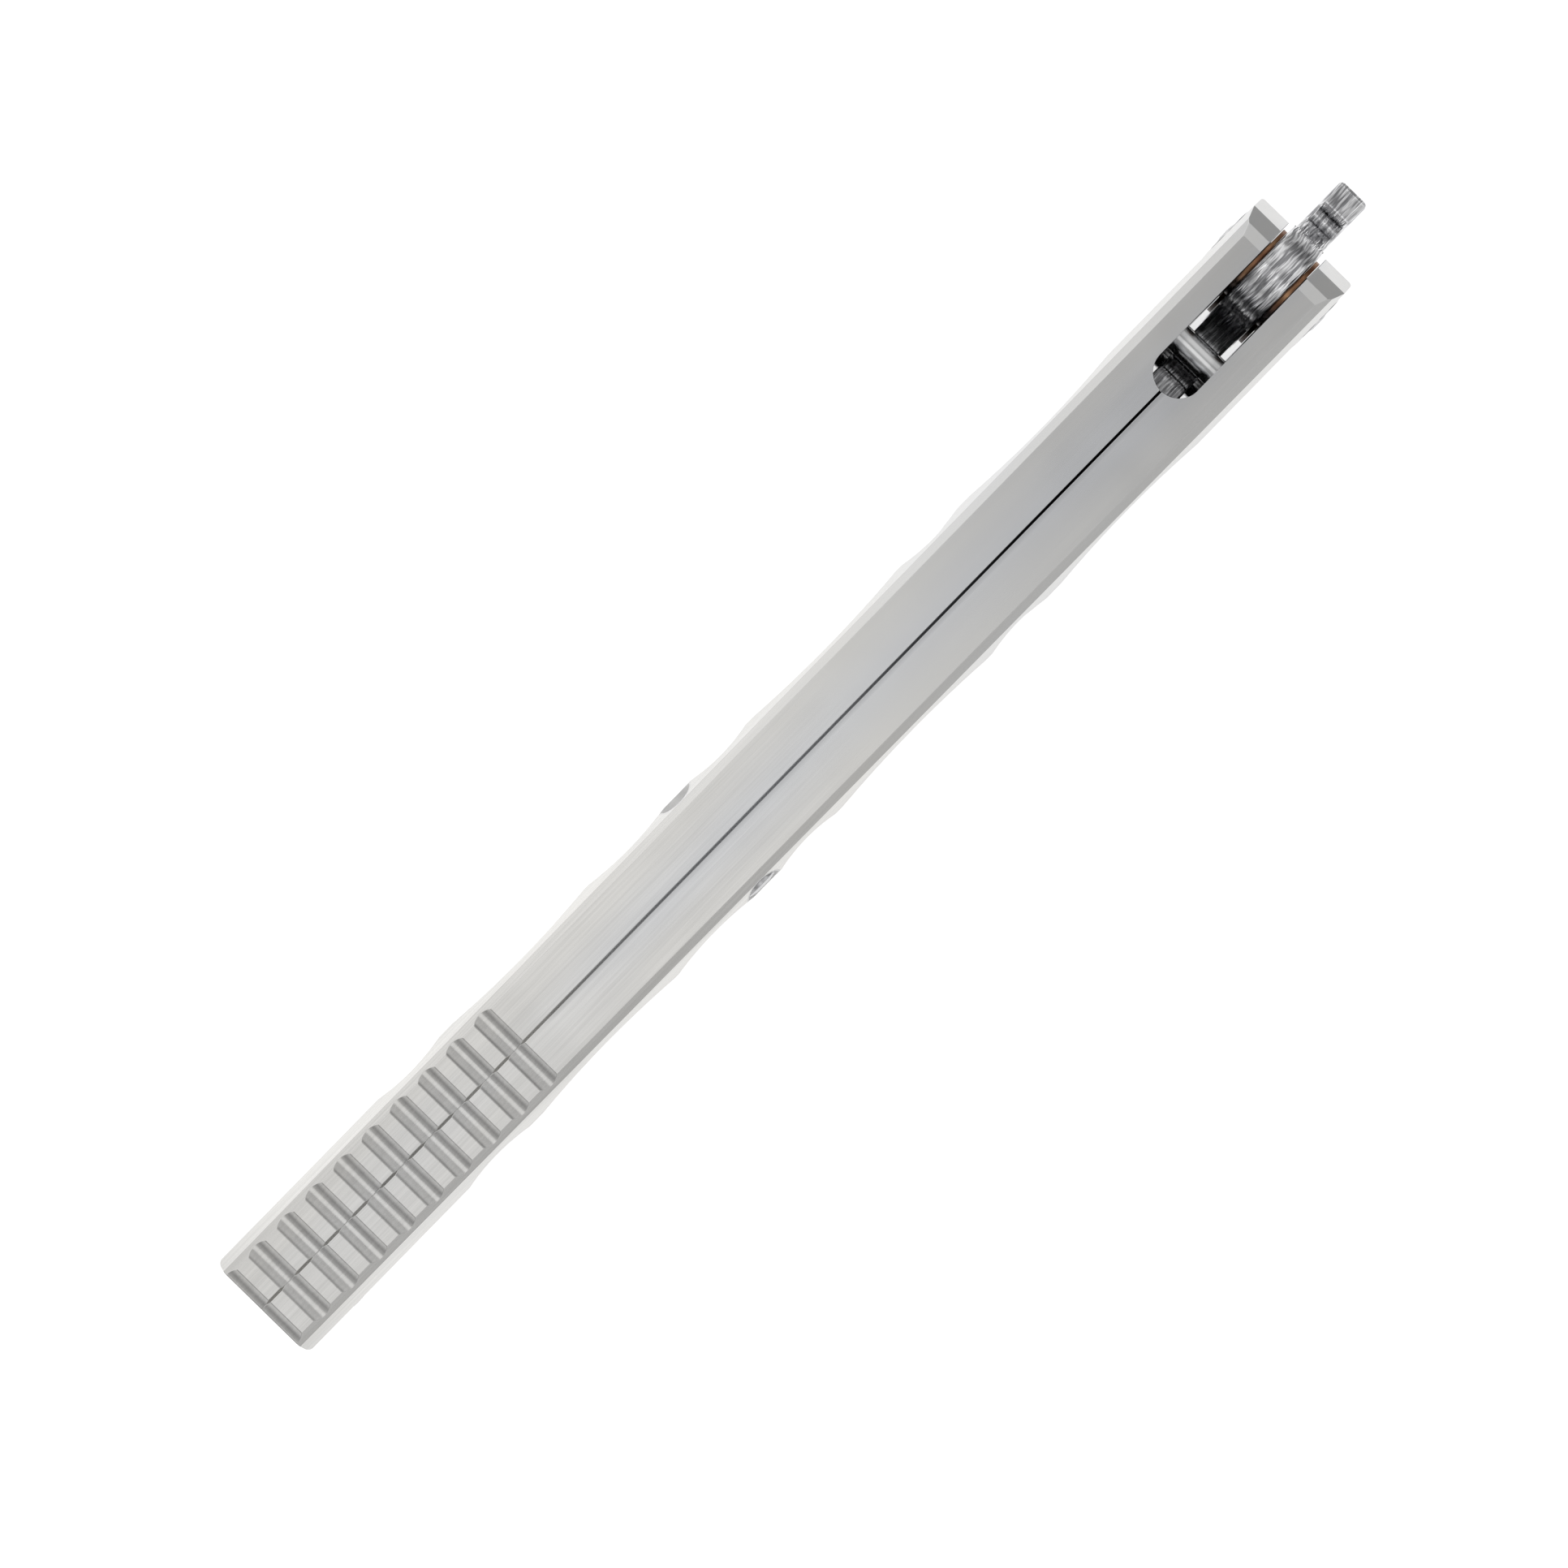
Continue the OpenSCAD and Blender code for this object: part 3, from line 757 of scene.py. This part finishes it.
def studio_world(scene):
    """A grey room with a ceiling in three tones, darker on the right wall than the left."""
    world = bpy.data.worlds.new("Grey room")
    world.use_nodes = True
    world.node_tree.nodes.clear()
    g = Graph(world.node_tree)
    way = g.parts(g.coordinates("Generated"))
    along, across = way["X"], way["Y"]
    tail_tone = g.remap(along, *TAIL_TONE, smooth=True)
    middle_tone = g.remap(along, *MIDDLE_TONE, smooth=True)
    nose_tone = g.remap(along, *NOSE_TONE, smooth=True)
    tail_part = g.mix(g.remap(along, *TAIL_SHARE, smooth=True), middle_tone, tail_tone)
    ceiling = g.mix(g.remap(along, *NOSE_SHARE, smooth=True), tail_part, nose_tone)
    walls = g.remap(across, *WALL_TONE, smooth=True)
    light = g.mix(g.remap(g.size_of(across), *WALL_SHARE, smooth=True), ceiling, walls)
    room = g.add("ShaderNodeBackground", {"Color": light})
    white = g.add("ShaderNodeBackground", {"Color": WHITE})
    seen = g.add("ShaderNodeLightPath").outputs["Is Camera Ray"]
    chosen = g.add("ShaderNodeMixShader", {0: seen, 1: room.outputs[0], 2: white.outputs[0]})
    g.add("ShaderNodeOutputWorld", {"Surface": chosen.outputs[0]})
    scene.world = world


def overhead_box(scene, studio):
    """A long soft box over the tails, just behind the camera's line."""
    data = bpy.data.lights.new("Overhead soft box", "AREA")
    data.shape = "RECTANGLE"
    near = math.tan(studio.box_near)
    far = math.tan(studio.box_far)
    data.size = studio.box_height * (near - far)
    data.size_y = studio.box_height * BOX_SIDE
    data.energy = math.pi * studio.box_light * data.size * data.size_y
    lamp = bpy.data.objects.new("Overhead soft box", data)
    foot = PIVOT.x - studio.foot
    lamp.location = (foot + studio.box_height * (near + far) / 2, 0.0, studio.box_height)
    scene.collection.objects.link(lamp)


def straight_down_camera(scene, studio):
    """Camera over the upper spine: a small lean along the handles, then the picture's roll."""
    data = bpy.data.cameras.new("Spine camera")
    data.lens = studio.focal / MM
    data.sensor_width = SENSOR_MM
    camera = bpy.data.objects.new("Spine camera", data)
    spine_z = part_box("upper_left_half")[1].z
    place = Matrix.Translation((PIVOT.x - studio.foot, 0.0, spine_z + studio.height))
    lean = Matrix.Rotation(-studio.lean, 4, "Y")
    tip = Matrix.Rotation(-studio.tip, 4, "X")
    roll = Matrix.Rotation(-studio.roll, 4, "Z")
    camera.matrix_world = place @ lean @ tip @ roll
    scene.collection.objects.link(camera)
    bpy.context.scene.camera = camera


class TRAINER_OT_studio(bpy.types.Operator):
    """Lay the paper floor and set the room, the lamp and the camera"""

    bl_idname = "trainer.studio"
    bl_label = "Set Studio"

    def execute(self, context):
        scene = context.scene
        studio = scene.trainer_studio
        scene.view_settings.view_transform = "Standard"
        floor = sheet_mesh("paper_floor", studio.floor_half)
        floor.data.materials.append(floor_material(studio))
        studio_world(scene)
        overhead_box(scene, studio)
        straight_down_camera(scene, studio)
        return {"FINISHED"}


# ---------------------------------------------------------------- panel and run


OPERATORS = (
    TRAINER_OT_handles,
    TRAINER_OT_blade,
    TRAINER_OT_pins,
    TRAINER_OT_screws,
    TRAINER_OT_washers,
    TRAINER_OT_studio,
)


class TRAINER_PT_panel(bpy.types.Panel):
    """Lists the steps that dress the trainer"""

    bl_idname = "TRAINER_PT_panel"
    bl_label = "Folding Trainer"
    bl_space_type = "VIEW_3D"
    bl_region_type = "UI"
    bl_category = "Trainer"

    def draw(self, context):
        for operator in OPERATORS:
            self.layout.operator(operator.bl_idname)
        for settings in (context.scene.trainer_finish, context.scene.trainer_studio):
            box = self.layout.box()
            for name in settings.__annotations__:
                box.prop(settings, name)


CLASSES = (TrainerFinish, TrainerStudio, *OPERATORS, TRAINER_PT_panel)


def register():
    for cls in CLASSES:
        bpy.utils.register_class(cls)
    bpy.types.Scene.trainer_finish = PointerProperty(type=TrainerFinish)
    bpy.types.Scene.trainer_studio = PointerProperty(type=TrainerStudio)


def unregister():
    del bpy.types.Scene.trainer_studio
    del bpy.types.Scene.trainer_finish
    for cls in reversed(CLASSES):
        bpy.utils.unregister_class(cls)


def main():
    register()
    bpy.ops.trainer.handles()
    bpy.ops.trainer.blade()
    bpy.ops.trainer.pins()
    bpy.ops.trainer.screws()
    bpy.ops.trainer.washers()
    bpy.ops.trainer.studio()


if __name__ == "__main__":
    main()
